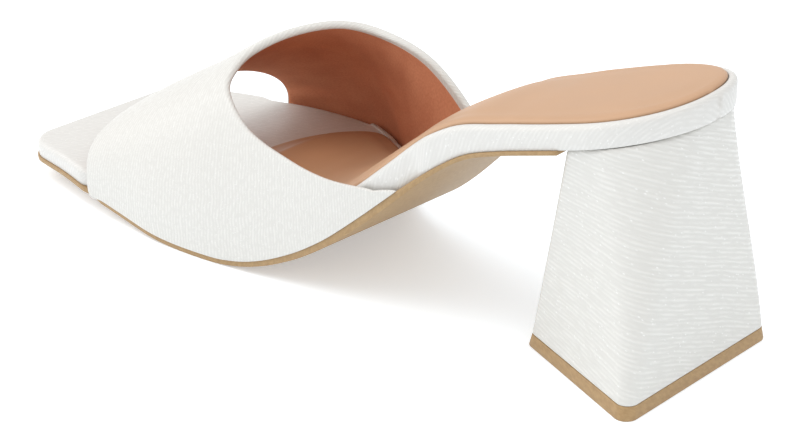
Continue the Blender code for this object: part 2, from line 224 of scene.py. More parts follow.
def curve(table, x_name, y_name):
    """A monotone smooth function through two columns of a table."""
    xs = [getattr(row, x_name) for row in table]
    ys = [getattr(row, y_name) for row in table]
    steps = [(ys[i + 1] - ys[i]) / (xs[i + 1] - xs[i]) for i in range(len(xs) - 1)]
    ms = [steps[0]]
    for i in range(1, len(xs) - 1):
        before, after = steps[i - 1], steps[i]
        if before * after <= 0.0:
            ms.append(0.0)
            continue
        w1 = 2.0 * (xs[i + 1] - xs[i]) + (xs[i] - xs[i - 1])
        w2 = (xs[i + 1] - xs[i]) + 2.0 * (xs[i] - xs[i - 1])
        ms.append((w1 + w2) / (w1 / before + w2 / after))
    ms.append(steps[-1])

    def value(x):
        x = min(max(x, xs[0]), xs[-1])
        i = max(k for k in range(len(xs) - 1) if xs[k] <= x or k == 0)
        width = xs[i + 1] - xs[i]
        t = (x - xs[i]) / width
        level = ys[i] * (1 + 2 * t) * (1 - t) ** 2 + ys[i + 1] * t * t * (3 - 2 * t)
        return level + width * (ms[i] * t * (1 - t) ** 2 - ms[i + 1] * t * t * (1 - t))

    return value


def softened(function, reach):
    """The function averaged over a short reach, so that no bend in it is abrupt."""
    shifts = [reach * (k / 4) for k in range(-4, 5)]
    weights = [1.0 - abs(shift) / (reach * 1.25) for shift in shifts]
    total = sum(weights)

    def value(x):
        return sum(w * function(x + shift) for w, shift in zip(weights, shifts)) / total

    return value


plan_lateral = softened(curve(PLAN, "s", "lateral"), 5.0)
plan_medial = softened(curve(PLAN, "s", "medial"), 5.0)
profile_height = curve(PROFILE, "s", "height")
sole_thickness = curve(BUILD, "s", "sole")
footbed_thickness = softened(curve(BUILD, "s", "footbed"), 5.0)
sole_bank = softened(curve(BUILD, "s", "sole_bank"), 5.0)
footbed_bank = softened(curve(BUILD, "s", "bank"), 5.0)
sock_padding = softened(curve(PADDING, "s", "crown"), 5.0)
band_height = softened(curve(BAND, "s", "height"), 5.0)
band_crest = curve(BAND, "s", "crest")
band_power = curve(BAND, "s", "power")
throat_edge = softened(curve(THROAT, "angle", "s"), 4.0)
toe_edge = softened(curve(TOE_OPENING, "angle", "s"), 6.0)


def raw_rise(s):
    """Height of the outsole's underside over the floor."""
    if s < SEAT_FRONT:
        return SEAT_HEIGHT - SEAT_SLOPE * s
    return profile_height(s)


rise = softened(raw_rise, 3.0)


def side_edge(half_width, s, outside):
    """Half width of the outline moved square to itself, outside being positive."""
    slope = (half_width(s + 3.0) - half_width(s - 3.0)) / 6.0
    return half_width(s) + outside * math.sqrt(1.0 + slope * slope)


def above(s, thickness):
    """Height over the floor of a level this far above the outsole's underside."""
    slope = (rise(s + 3.0) - rise(s - 3.0)) / 6.0
    return rise(s) + thickness * math.sqrt(1.0 + slope * slope)


def banked(x, s, bank):
    """Extra height at x of a level whose medial edge is bank(s) higher."""
    lateral, medial = plan_lateral(s), plan_medial(s)
    return bank(s) * (lateral - x) / (lateral + medial)


def footbed_top(s):
    """Top of the wrapped footbed over the outsole's underside."""
    return sole_thickness(s) + GAP + footbed_thickness(s)


def footbed_inset(s):
    """The footbed makes room for the upper's wall between the band's two ends."""
    covered = WALL - UPPER_PROUD + 2 * GAP
    back = min(edge.s for edge in THROAT) - BAND_TIP - BAND_MARGIN
    front = max(toe_edge(0.0), toe_edge(180.0)) + BAND_MARGIN
    inside = smooth_step(1 + (s - back) / UPPER_RAMP) * smooth_step(1 + (front - s) / UPPER_RAMP)
    return mix(FOOTBED_INSET, covered, inside)


def to_world(x, s, z):
    """Shoe millimetres to metres in the frame."""
    return Vector(((x - CENTRE_X) * MM, (CENTRE_S - s) * MM, z * MM))


# --- mesh building ---------------------------------------------------------------------------


def mesh_object(name, points, faces, cloth, slots, materials):
    """A smooth mesh from points, faces, a cloth coordinate per point and a slot per face."""
    data = bpy.data.meshes.new(name)
    data.from_pydata([tuple(p) for p in points], [], faces)
    layer = data.uv_layers.new(name="Cloth")
    for loop in data.loops:
        layer.data[loop.index].uv = cloth[loop.vertex_index]
    for polygon, slot in zip(data.polygons, slots):
        polygon.material_index = slot
    made = bpy.data.objects.new(name, data)
    bpy.context.scene.collection.objects.link(made)
    for item in materials:
        data.materials.append(item)
    work = bmesh.new()
    work.from_mesh(data)
    bmesh.ops.recalc_face_normals(work, faces=work.faces)
    work.to_mesh(data)
    work.free()
    data.shade_smooth()
    return made


class Grid:
    """Points in rows, turned into quads; a row may close on itself."""

    def __init__(self):
        self.points = []
        self.cloth = []
        self.faces = []
        self.slots = []

    def add_row(self, row, cloth):
        """Add points with their cloth coordinates and return their numbers."""
        first = len(self.points)
        self.points.extend(row)
        self.cloth.extend(cloth)
        return list(range(first, len(self.points)))

    def face(self, corners, slot=0):
        """Add one face, leaving out corners that repeat."""
        kept = []
        for corner in corners:
            if corner not in kept:
                kept.append(corner)
        if len(kept) > 2:
            self.faces.append(kept)
            self.slots.append(slot)

    def join(self, low, high, closed=False, slot=0):
        """Quads between two rows; slot may be a list with one entry a quad."""
        count = len(low) if closed else len(low) - 1
        for k in range(count):
            n = (k + 1) % len(low)
            own = slot[k] if isinstance(slot, list) else slot
            self.face((low[k], low[n], high[n], high[k]), own)

    def build(self, name, materials):
        """The finished object."""
        return mesh_object(name, self.points, self.faces, self.cloth, self.slots, materials)


# --- flat pieces: outsole, footbed, sock -----------------------------------------------------

# A slab: its two ends, how they are rounded, and its inset from the outline along s.
Layer = namedtuple("Layer", "back back_round front front_round front_corner inset")
# One ring of a slab. Laid flat, its cloth lies further out by what is unrolled.
Level = namedtuple("Level", "inset height bank unrolled")
# The same for a table, its rise counted from the slab's own underside or top.
Step = namedtuple("Step", "inset rise unrolled")
END_STEPS = 28
BODY_STEPS = 110


def stations(layer, inset):
    """Values of s for one ring of a layer, finer at the rounded ends."""
    values = []
    body_start = layer.back + layer.back_round
    if layer.back_round:
        for i in range(END_STEPS):
            angle = math.pi / 2 * i / END_STEPS
            values.append(body_start - (layer.back_round - inset) * math.cos(angle))
    body_end = layer.front - layer.front_round - layer.front_corner
    body = [mix(body_start, body_end, i / BODY_STEPS) for i in range(BODY_STEPS + 1)]
    if not layer.back_round:
        body[0] += inset
    values.extend(body)
    reach = layer.front_round + layer.front_corner - inset
    for i in range(1, END_STEPS + 1):
        values.append(body_end + reach * math.sin(math.pi / 2 * i / END_STEPS))
    return values


def end_factor(distance, depth):
    """Width of a rounded end, 0 to 1, at a distance in from its tip."""
    if distance >= depth:
        return 1.0
    k = min(max((depth - distance) / depth, 0.0), 1.0)
    return (1.0 - k ** END_POWER) ** (1.0 / END_POWER)


def half_widths(layer, s, inset):
    """Lateral and medial edge of a layer at s, as x values."""
    lateral = side_edge(plan_lateral, s, -layer.inset(s) - inset)
    medial = -side_edge(plan_medial, s, -layer.inset(s) - inset)
    factor = 1.0
    if layer.back_round:
        factor *= end_factor(s - layer.back - inset, layer.back_round - inset)
    if layer.front_round:
        factor *= end_factor(layer.front - inset - s, layer.front_round - inset)
    middle = (lateral + medial) / 2
    half = (lateral - medial) / 2 * factor
    if layer.front_corner:
        radius = layer.front_corner - inset
        into = max(s - (layer.front - layer.front_corner), 0.0)
        half -= radius - math.sqrt(max(radius * radius - into * into, 0.0))
    return middle + half, middle - half


def ring(layer, level):
    """Loop of (x, s) pairs of one level: lateral side forward, then medial side back."""
    pairs = [(half_widths(layer, s, level.inset), s) for s in stations(layer, level.inset)]
    lateral = [(edges[0], s) for edges, s in pairs]
    medial = [(edges[1], s) for edges, s in pairs]
    return lateral + medial[::-1]


def outward(loop):
    """Unit normals of a closed loop in plan."""
    places = np.array(loop)
    along = np.roll(places, -1, axis=0) - np.roll(places, 1, axis=0)
    normals = np.stack([along[:, 1], -along[:, 0]], axis=1)
    lengths = np.linalg.norm(normals, axis=1)
    lengths[lengths < 1e-9] = 1.0
    normals = normals / lengths[:, None]
    # Both points at a rounded tip lie in one place and share one direction.
    half = len(loop) // 2
    for a, b in ((0, -1), (half - 1, half)):
        if np.linalg.norm(places[a] - places[b]) < 1e-6:
            shared = normals[a] + normals[b]
            normals[a] = normals[b] = shared / max(np.linalg.norm(shared), 1e-9)
    return normals


def layer_object(name, layer, levels, materials, cloth_angle, columns, top, shape=None):
    """A closed slab. top(x, s, across) raises its upper face; shape(x, s, z, level) bends it."""
    grid = Grid()
    cosine, sine = math.cos(math.radians(cloth_angle)), math.sin(math.radians(cloth_angle))

    def laid(u, v):
        return u * cosine + v * sine, v * cosine - u * sine

    rings = []
    for number, level in enumerate(levels):
        loop = ring(layer, level)
        normals = outward(loop)
        row, cloth = [], []
        for (x, s), (nx, ns) in zip(loop, normals):
            z = above(s, level.height(s)) + banked(x, s, level.bank)
            if number == len(levels) - 1:
                z += top(x, s, 1.0)
            if shape:
                x, s, z = shape(x, s, z, number)
            row.append(to_world(x, s, z))
            cloth.append(laid(s + ns * level.unrolled, x + nx * level.unrolled))
        rings.append(grid.add_row(row, cloth))
    for low, high in zip(rings, rings[1:]):
        grid.join(low, high, closed=True)
    for numbers, level, is_top in ((rings[0], levels[0], False), (rings[-1], levels[-1], True)):
        half = len(numbers) // 2
        lateral, medial = numbers[:half], numbers[half:][::-1]
        loop = ring(layer, level)
        steps = columns if is_top else 1
        rows = []
        for k, (a, b) in enumerate(zip(lateral, medial)):
            inner, cloth = [], []
            (xa, s), (xb, _) = loop[k], loop[-1 - k]
            for c in range(1, steps):
                x = mix(xa, xb, c / steps)
                across = abs(2 * c / steps - 1)
                z = above(s, level.height(s)) + banked(x, s, level.bank) + top(x, s, across)
                inner.append(to_world(x, s, z))
                cloth.append(laid(s, x))
            rows.append([a] + grid.add_row(inner, cloth) + [b])
        for near, far in zip(rows, rows[1:]):
            grid.join(near, far)
        for end in (rows[0], rows[-1]):
            if steps > 1:
                grid.face(end)
    return grid.build(name, materials)


# --- materials -------------------------------------------------------------------------------


def linear(code):
    """sRGB hex to linear colour."""
    values = [int(code[i:i + 2], 16) / 255 for i in (1, 3, 5)]
    return tuple(v / 12.92 if v <= 0.04045 else ((v + 0.055) / 1.055) ** 2.4 for v in values)


def add(tree, kind, settings=None, links=None):
    """Add a node. settings name its properties or inputs; links name inputs to feed."""
    made = tree.nodes.new(kind)
    for key, value in (settings or {}).items():
        if isinstance(key, str) and hasattr(made, key):
            setattr(made, key, value)
        else:
            made.inputs[key].default_value = value
    for key, socket in (links or {}).items():
        tree.links.new(socket, made.inputs[key])
    return made


def new_material(name, roughness, ior):
    """A material with its shader, as (material, tree, shader)."""
    made = bpy.data.materials.new(name)
    made.use_nodes = True
    tree = made.node_tree
    shader = tree.nodes["Principled BSDF"]
    shader.inputs["Roughness"].default_value = roughness
    shader.inputs["IOR"].default_value = ior
    return made, tree, shader


def mottle(tree, shader, dark, light, source, low, high):
    """Colour the shader from dark to light as the source goes from low to high."""
    spread = add(tree, "ShaderNodeMapRange", {"From Min": low, "From Max": high},
                 {"Value": source})
    tone = add(tree, "ShaderNodeMix", {"data_type": "RGBA", 6: (*dark, 1), 7: (*light, 1)},
               {0: spread.outputs[0]})
    tree.links.new(tone.outputs[2], shader.inputs["Base Color"])


WAVE_PERIOD = 0.314     # width of one band of a wave texture at scale 1
PRESSED_RELIEF = 0.55   # relief of the wrapped cloth against the loose cloth's


def shimmer_cloth(name, light, dark, pitch, relief):
    """Coated shimmer twill: a white cotton cloth, woven in ribs and glazed with pearl.

    The ribs catch the light as short broken streaks, with tiny painted glints between, where white
    is mixed into the colour.
    """
    made, tree, shader = new_material(name, 0.5, 1.5)
    shader.inputs["Specular IOR Level"].default_value = 0.5
    cloth = add(tree, "ShaderNodeUVMap", {"uv_map": "Cloth"}).outputs["UV"]
    # Hand-pulled cloth: the ribs wander by a fraction of their pitch.
    wander = add(tree, "ShaderNodeTexNoise",
                 {"noise_dimensions": "2D", "Scale": 0.11, "Detail": 2.0}, {"Vector": cloth})
    shift = add(tree, "ShaderNodeVectorMath", {"operation": "SCALE", "Scale": 1.2},
                {0: wander.outputs["Color"]})
    pulled = add(tree, "ShaderNodeVectorMath", {"operation": "ADD"},
                 {0: cloth, 1: shift.outputs[0]})
    ribs = add(tree, "ShaderNodeTexWave",
               {"wave_type": "BANDS", "bands_direction": "X", "Scale": WAVE_PERIOD / pitch,
                "Distortion": 0.5, "Detail": 2.0, "Detail Scale": 1.2},
               {"Vector": pulled.outputs[0]})
    # Slubs break each rib about every 3 mm, closer on the band and wider on the heel.
    stretch = add(tree, "ShaderNodeMapping", {"Scale": (0.9 / pitch, 0.34, 1.0)},
                  {"Vector": pulled.outputs[0]})
    slubs = add(tree, "ShaderNodeTexNoise", {"noise_dimensions": "2D", "Scale": 1.0, "Detail": 3.0,
                                             "Roughness": 0.6},
                {"Vector": stretch.outputs[0]})
    broken = add(tree, "ShaderNodeMapRange", {"From Min": 0.36, "From Max": 0.6, "To Min": 0.1},
                 {"Value": slubs.outputs["Fac"]})
    height = add(tree, "ShaderNodeMath", {"operation": "MULTIPLY"},
                 {0: ribs.outputs["Fac"], 1: broken.outputs[0]})
    # Painted glints, in cells drawn 0.6 mm apart so that they show; a few of them mix white into
    # the colour, a painted highlight.
    painted_glint_cells = add(tree, "ShaderNodeTexVoronoi", {"voronoi_dimensions": "2D", "Scale": 1.7},
                 {"Vector": cloth})
    chosen = add(tree, "ShaderNodeSeparateColor", {}, {0: painted_glint_cells.outputs["Color"]})
    lucky = add(tree, "ShaderNodeMapRange", {"From Min": 0.93, "From Max": 0.99, "To Max": 0.35},
                {"Value": chosen.outputs[0]})
    centre = add(tree, "ShaderNodeMapRange", {"From Min": 0.42, "From Max": 0.12},
                 {"Value": painted_glint_cells.outputs["Distance"]})
    glint = add(tree, "ShaderNodeMath", {"operation": "MULTIPLY"},
                {0: lucky.outputs[0], 1: centre.outputs[0]})
    tone = add(tree, "ShaderNodeMix",
               {"data_type": "RGBA", 6: (*linear(dark), 1), 7: (*linear(light), 1)},
               {0: height.outputs[0]})
    # Painted highlight: the glint cells turn the cloth's colour towards white.
    shine = add(tree, "ShaderNodeMix", {"data_type": "RGBA", 7: (1.0, 1.0, 1.0, 1)},
                {0: glint.outputs[0], 6: tone.outputs[2]})
    tree.links.new(shine.outputs[2], shader.inputs["Base Color"])
    gloss = add(tree, "ShaderNodeMapRange", {"To Min": 0.55, "To Max": 0.28},
                {"Value": height.outputs[0]})
    tree.links.new(gloss.outputs[0], shader.inputs["Roughness"])
    raised = add(tree, "ShaderNodeMath", {"operation": "ADD"},
                 {0: height.outputs[0], 1: glint.outputs[0]})
    bumps = add(tree, "ShaderNodeBump", {"Strength": relief, "Distance": 0.15 * MM},
                {"Height": raised.outputs[0]})
    tree.links.new(bumps.outputs[0], shader.inputs["Normal"])
    return made


def lining_cloth(name, light, dark):
    """Brushed polyester lining, warp knitted: a dull terracotta with a short nap."""
    made, tree, shader = new_material(name, 0.9, 1.45)
    shader.inputs["Specular IOR Level"].default_value = 0.1
    cloth = add(tree, "ShaderNodeUVMap", {"uv_map": "Cloth"}).outputs["UV"]
    # Knit columns 0.6 mm apart, drawn at 0.9 mm so that they show.
    knit = add(tree, "ShaderNodeTexNoise", {"noise_dimensions": "2D", "Scale": 1.1, "Detail": 3.0},
               {"Vector": cloth})
    nap = add(tree, "ShaderNodeTexNoise", {"noise_dimensions": "2D", "Scale": 0.08, "Detail": 3.0},
              {"Vector": cloth})
    blend = add(tree, "ShaderNodeMix", {"data_type": "FLOAT", 0: 0.45},
                {2: knit.outputs["Fac"], 3: nap.outputs["Fac"]})
    mottle(tree, shader, linear(dark), linear(light), blend.outputs[0], 0.35, 0.65)
    bumps = add(tree, "ShaderNodeBump", {"Strength": 0.25, "Distance": 0.1 * MM},
                {"Height": knit.outputs["Fac"]})
    tree.links.new(bumps.outputs[0], shader.inputs["Normal"])
    return made


def coated_sock(name, colour):
    """Polyurethane-coated sock, calendered smooth over foam: warm tan, satin, fine pores."""
    light = tuple(channel * 1.03 for channel in colour)
    dark = tuple(channel * 0.97 for channel in colour)
    made, tree, shader = new_material(name, 0.5, 1.5)
    shader.inputs["Specular IOR Level"].default_value = 0.35
    cloth = add(tree, "ShaderNodeUVMap", {"uv_map": "Cloth"}).outputs["UV"]
    cast = add(tree, "ShaderNodeTexNoise",
               {"noise_dimensions": "2D", "Scale": 0.05, "Detail": 3.0},
               {"Vector": cloth})
    # Pores 0.3 mm apart, drawn at 0.7 mm so that they show.
    pores = add(tree, "ShaderNodeTexVoronoi", {"voronoi_dimensions": "2D", "Scale": 1.4},
                {"Vector": cloth})
    mottle(tree, shader, dark, light, cast.outputs["Fac"], 0.3, 0.7)
    gloss = add(tree, "ShaderNodeMapRange", {"To Min": 0.42, "To Max": 0.56},
                {"Value": cast.outputs["Fac"]})
    tree.links.new(gloss.outputs[0], shader.inputs["Roughness"])
    bumps = add(tree, "ShaderNodeBump", {"Strength": 0.08, "Distance": 0.1 * MM},
                {"Height": pores.outputs["Distance"]})
    tree.links.new(bumps.outputs[0], shader.inputs["Normal"])
    return made


def moulded_tan(name, light, dark):
    """Thermoplastic rubber sheet, pressed and buffed: even tan with a faint fleck."""
    made, tree, shader = new_material(name, 0.5, 1.5)
    shader.inputs["Specular IOR Level"].default_value = 0.4
    cloth = add(tree, "ShaderNodeUVMap", {"uv_map": "Cloth"}).outputs["UV"]
    fleck = add(tree, "ShaderNodeTexNoise", {"noise_dimensions": "2D", "Scale": 0.9, "Detail": 4.0,
                                             "Roughness": 0.65},
                {"Vector": cloth})
    mottle(tree, shader, linear(dark), linear(light), fleck.outputs["Fac"], 0.35, 0.65)
    bumps = add(tree, "ShaderNodeBump", {"Strength": 0.12, "Distance": 0.1 * MM},
                {"Height": fleck.outputs["Fac"]})
    tree.links.new(bumps.outputs[0], shader.inputs["Normal"])
    return made


def cloth_material(pattern):
    """The shimmer cloth, made once for the band and the heel."""
    name = "coated_shimmer_twill"
    return bpy.data.materials.get(name) or shimmer_cloth(
        name, "#d4d2cd", "#cac8c3", pattern.pitch / MM, pattern.relief)


def wrapped_cloth_material(pattern):
    """The same cloth pulled tight and pressed flatter round the footbed."""
    return shimmer_cloth("pressed_shimmer_twill", "#d3d1cd", "#cccac6", pattern.pitch / MM,
                         PRESSED_RELIEF * pattern.relief)


def tan_material():
    """The sheet rubber of the outsole and the heel tip, made once."""
    name = "pressed_rubber_tan"
    return bpy.data.materials.get(name) or moulded_tan(name, "#a6885f", "#997b54")


# --- settings --------------------------------------------------------------------------------


class ClothSettings(bpy.types.PropertyGroup):
    """How the shimmer cloth is woven."""

    pitch: bpy.props.FloatProperty(
        name="Rib Pitch", description="Distance from rib to rib", default=1.2 * MM,
        min=0.3 * MM, max=5 * MM, unit="LENGTH", precision=5)
    relief: bpy.props.FloatProperty(
        name="Relief", description="Strength of the ribs' relief", default=0.5, min=0.0, max=1.0,
        subtype="FACTOR")


class BandSettings(bpy.types.PropertyGroup):
    """The upper band's turned edge and lining."""

    edge: bpy.props.FloatProperty(
        name="Turned Edge", description="Width of cloth turned in before the lining starts",
        default=1.0 * MM, min=0.5 * MM, max=6 * MM, unit="LENGTH", precision=5)
    swell: bpy.props.FloatProperty(
        name="Corner Swell", description="How far the outer front corner swells over the outsole",
        default=0.9 * MM, min=0.0, max=2 * MM, unit="LENGTH", precision=5)


class SockSettings(bpy.types.PropertyGroup):
    """The padded sock."""

    groove: bpy.props.FloatProperty(
        name="Groove", description="Depth of the groove between the sock and the rim",
        default=0.7 * MM, min=0.0, max=1.5 * MM, unit="LENGTH", precision=5)
    colour: bpy.props.FloatVectorProperty(
        name="Colour", description="Colour of the sock's coating", subtype="COLOR",
        default=linear("#b99475"), min=0.0, max=1.0)


class StudioSettings(bpy.types.PropertyGroup):
    """Camera and light."""

    azimuth: bpy.props.FloatProperty(
        name="Azimuth", description="Camera direction round the shoe, 0 looking along +Y",
        default=math.radians(133.86), subtype="ANGLE")
    elevation: bpy.props.FloatProperty(
        name="Elevation", description="Camera tilt below the horizon",
        default=math.radians(24.435), subtype="ANGLE")
    lens: bpy.props.FloatProperty(
        name="Lens", description="Focal length on a 36 mm wide sensor", default=90.16,
        min=10.0, max=300.0, unit="CAMERA")
    key: bpy.props.FloatProperty(
        name="Key Power", description="Power of the softbox on the toe's side", default=5.3,
        min=0.0, unit="POWER")
    fill: bpy.props.FloatProperty(
        name="Fill Power", description="Power of the wide softbox over the heel", default=5.0,
        min=0.0, unit="POWER")
    side: bpy.props.FloatProperty(
        name="Side Power", description="Power of the small softbox on the outer side", default=0.25,
        min=0.0, unit="POWER")
    card: bpy.props.FloatProperty(
        name="Card Power", description="Power of the small card under the arch", default=0.0024,
        min=0.0, precision=4, unit="POWER")
    table: bpy.props.FloatProperty(
        name="Table Glow", description="Brightness of the light table's own glow", default=0.35,
        min=0.0, max=2.0)
    ambient: bpy.props.FloatProperty(
        name="Ambient", description="Brightness of the white surround", default=0.92, min=0.0,
        max=5.0)


class MuleSettings(bpy.types.PropertyGroup):
    """Everything that a user would change."""

    cloth: bpy.props.PointerProperty(type=ClothSettings)
    band: bpy.props.PointerProperty(type=BandSettings)
    sock: bpy.props.PointerProperty(type=SockSettings)
    studio: bpy.props.PointerProperty(type=StudioSettings)


# --- pieces ----------------------------------------------------------------------------------


def hand_over(piece, node):
    """Let a piece stand for a node, riding on the shoe's one body."""
    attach(piece, "root")
    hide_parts(node)


BAND_COLUMNS = 120      # steps from the toe edge to the throat edge
ARCH_STEPS = 150        # steps round the arch
UPRIGHTS = [GAP, 0.4, 0.6, 0.9, 1.4, 2.0, 2.7, 3.4, 4.2]    # heights up the upright sides
CORNER_ROUND = 4.5      # the outer front corner, seen from the side
SWELL_REACH = 3.2       # the corner's swell fades over this width,
SWELL_HEIGHT = 3.5      # and over this height,
SWELL_SAG = 0.9         # and sags by this share of its own width
COLUMN_CROWDING = 0.1
TURNED_WALL = 1.2       # cloth and stiffener at the turned edge
LINING_WALL = 0.3       # the lining lies this much proud of the turned edge
LINING_EDGE = 0.5       # width over which the lining rises to that
ROLL_REACH = 8.0        # the throat's folded edge is thicker over this width
ROLL_STEPS = 8          # steps in the half turn round an edge
TOE_THINNING = 0.4      # the edge at the toe is skived thinner
BAND_STREAKS = 1.5      # the cloth's streaks are drawn this much shorter on the band

# The throat's folded edge round the section: how much thicker it is, how far it curls
# in, and how much of the cloth shows inside before the lining starts.
Roll = namedtuple("Roll", "angle extra curl turned")
ROLL = [
    Roll(0.0, 0.0, 0.0, 0.9),
    Roll(12.0, 0.1, 0.0, 0.9),
    Roll(35.0, 0.6, 0.0, 1.3),
    Roll(70.0, 1.1, 0.3, 1.8),
    Roll(95.0, 1.2, 0.3, 2.2),
    Roll(130.0, 1.2, 0.1, 1.8),
    Roll(165.0, 0.9, 0.0, 1.8),
    Roll(180.0, 0.0, 0.0, 2.0),
]
roll_extra = curve(ROLL, "angle", "extra")
roll_curl = curve(ROLL, "angle", "curl")
roll_turned = curve(ROLL, "angle", "turned")


def band_point(kind, value, s, swell):
    """A point of the outer face at s, up an upright side or round the arch."""
    lateral = side_edge(plan_lateral, s, UPPER_PROUD)
    medial = side_edge(plan_medial, s, UPPER_PROUD)
    if kind == "arch":
        crest, power = band_crest(s), 2.0 / band_power(s)
        cosine, sine = math.cos(math.radians(value)), abs(math.sin(math.radians(value)))
        reach = lateral - crest if cosine > 0 else medial + crest
        x = crest + math.copysign(abs(cosine) ** power, cosine) * reach
        lift = UPPER_SIDE + (band_height(s) - UPPER_SIDE) * sine ** power
    else:
        x = lateral if kind == "lateral" else -medial
        lift = value
    base = above(s, sole_thickness(s)) + banked(x, s, sole_bank)
    z = base + lift
    if x > 0:
        # The outer front corner swells over the outsole's edge.
        near_edge = bump(s, toe_edge(0.0) - 1.0, SWELL_REACH)
        near_edge *= bump(z - base, 0.5, SWELL_HEIGHT)
        x += swell * near_edge
        z -= SWELL_SAG * swell * near_edge
    return x, s, z


def band_frames(swell):
    """Outer face of the band as rows of points, their outward normals and their angles."""
    rows = [("lateral", height, 0.0) for height in UPRIGHTS]
    rows += [("arch", 180.0 * k / ARCH_STEPS, 180.0 * k / ARCH_STEPS)
             for k in range(ARCH_STEPS + 1)]
    rows += [("medial", height, 180.0) for height in reversed(UPRIGHTS)]
    points = []
    for kind, value, angle in rows:
        lean = 0.0 if kind == "arch" else BAND_TIP * (1 - value / UPPER_SIDE)
        rounded = 0.0
        if kind == "lateral" and value < CORNER_ROUND:
            rounded = CORNER_ROUND - math.sqrt(CORNER_ROUND ** 2 - (CORNER_ROUND - value) ** 2)
        front, back = toe_edge(angle) - rounded, throat_edge(angle) - lean + 0.5 * rounded
        row = []
        for k in range(BAND_COLUMNS + 1):
            # Columns crowd a little towards both edges, where the rolls start.
            t = k / BAND_COLUMNS
            t = t - COLUMN_CROWDING * math.sin(2 * math.pi * t) / math.pi
            row.append(band_point(kind, value, mix(front, back, t), swell))
        points.append(row)
    points = np.array(points)
    normals = np.cross(np.gradient(points, axis=1), np.gradient(points, axis=0))
    normals /= np.linalg.norm(normals, axis=2)[:, :, None]
    if np.sum((points - points.mean(axis=(0, 1))) * normals) < 0:
        normals = -normals
    return points, normals, [angle for _, _, angle in rows]


# The lining's soft fold beside the inner corner of the toe opening: a ridge and the dip
# over it, each by its height over the fold's line, its rise and its reach.
Fold = namedtuple("Fold", "over rise reach")
LINING_FOLD = [Fold(0.0, 0.9, 2.2), Fold(3.2, -0.5, 2.0)]
FOLD_HEIGHT = 15.0      # height of the fold's line over the floor at its front end
FOLD_SLOPE = 0.12       # and how fast the line rises from there towards the heel
FOLD_FRONT = 196.0
FOLD_MIDDLE = 189.0
FOLD_REACH = 10.0
INNER_SIDE = -38.0      # the lining is on the inner side where x is below this


def folded_lining(x, s, z):
    """A point of the lining, pushed in or out by the fold."""
    if x > INNER_SIDE:
        return x, s, z
    line = FOLD_HEIGHT + FOLD_SLOPE * (FOLD_FRONT - s)
    push = sum(fold.rise * bump(z, line + fold.over, fold.reach) for fold in LINING_FOLD)
    return x + bump(s, FOLD_MIDDLE, FOLD_REACH) * push, s, z


def band_section(points, normals, angle, edge_width):
    """One row's closed section: outer face, rolled throat edge, lining, rolled toe edge.

    Returns (point, 1 where lining starts there or else 0, way along) for each point.
    """
    travel = np.concatenate([[0.0], np.cumsum(np.linalg.norm(np.diff(points, axis=0), axis=1))])
    total = travel[-1]
    throat_half = (TURNED_WALL + roll_extra(angle)) / 2
    toe_half = (TURNED_WALL - TOE_THINNING) / 2
    # The face stops short of both edges by half a wall, which leaves room for the rolls.
    places = toe_half + (total - throat_half - toe_half) * travel / total
    outer, normals = (np.stack([np.interp(places, travel, values[:, axis]) for axis in range(3)],
                               axis=1) for values in (points, normals))
    normals /= np.linalg.norm(normals, axis=1)[:, None]
    to_throat = np.maximum(1.0 - (total - throat_half - places) / ROLL_REACH, 0.0) ** 2
    to_toe = np.maximum(1.0 - (places - toe_half) / ROLL_REACH, 0.0) ** 2
    outer = outer - normals * (roll_curl(angle) * to_throat)[:, None]
    walls = TURNED_WALL + roll_extra(angle) * to_throat - TOE_THINNING * to_toe
    turned = roll_turned(angle) * edge_width
    count = len(outer)
    loop = [(outer[k], 0, places[k]) for k in range(count)]

    def roll(end, inner, way):
        """Half a turn round one edge, from the outer face in (1) or from the lining out (-1)."""
        out = outer[end] - outer[inner]
        out /= np.linalg.norm(out)
        half = walls[end] / 2
        for step in range(1, ROLL_STEPS):
            phi = math.pi * (step / ROLL_STEPS if way > 0 else 1 - step / ROLL_STEPS)
            inward = half * (1 - math.cos(phi))
            place = outer[end] - normals[end] * inward + out * half * math.sin(phi)
            loop.append((place, 0, places[end] + way * half * phi))

    roll(count - 1, count - 2, 1)
    # The turned cloth, then the lining's own edge a little proud of it.
    for k in range(count - 1, -1, -1):
        from_throat, from_toe = total - places[k], places[k]
        near = min(from_throat, from_toe)
        if from_throat < from_toe:
            width, proud = turned, LINING_WALL
        else:
            width, proud = edge_width, LINING_WALL / 2
        depth = walls[k] + proud * smooth_step((near - width) / LINING_EDGE)
        loop.append((outer[k] - normals[k] * depth, 1 if near > width else 0, places[k]))
    roll(0, 1, -1)
    return loop


class MULE_OT_band(bpy.types.Operator):
    """Build the band: shimmer cloth outside, turned at its edges, terracotta lining inside"""

    bl_idname = "mule.band"
    bl_label = "Build Band"

    def execute(self, context):
        settings = context.scene.mule
        points, normals, angles = band_frames(settings.band.swell / MM)
        grid = Grid()
        rows = []
        steps = np.linalg.norm(np.diff(points, axis=0), axis=2)
        around = np.concatenate([np.zeros((1, points.shape[1])), np.cumsum(steps, axis=0)])
        for i in range(points.shape[0]):
            loop = band_section(points[i], normals[i], angles[i], settings.band.edge / MM)
            middle = float(around[i].mean())
            start = points[i][0][1]
            cloth = [(start - travel, BAND_STREAKS * middle) for _, _, travel in loop]
            places = [folded_lining(*place) if lined else place for place, lined, _ in loop]
            rows.append(grid.add_row([to_world(*place) for place in places], cloth))
            kinds = [lined for _, lined, _ in loop]
        for low, high in zip(rows, rows[1:]):
            grid.join(low, high, closed=True, slot=kinds)
        face, rolled = points.shape[1], ROLL_STEPS - 1
        for end in (rows[0], rows[-1]):
            # Close the hem between the outer face and the lining.
            inner = end[face + rolled:2 * face + rolled][::-1]
            grid.join(end[:face], inner)
            grid.face(end[face - 1:face + rolled + 1])
            grid.face(end[2 * face + rolled - 1:] + [end[0]])
        lining = lining_cloth("brushed_knit_lining", "#d08d6c", "#c37f60")
        made = grid.build("band", [cloth_material(settings.cloth), lining])
        hand_over(made, "upper")
        return {"FINISHED"}


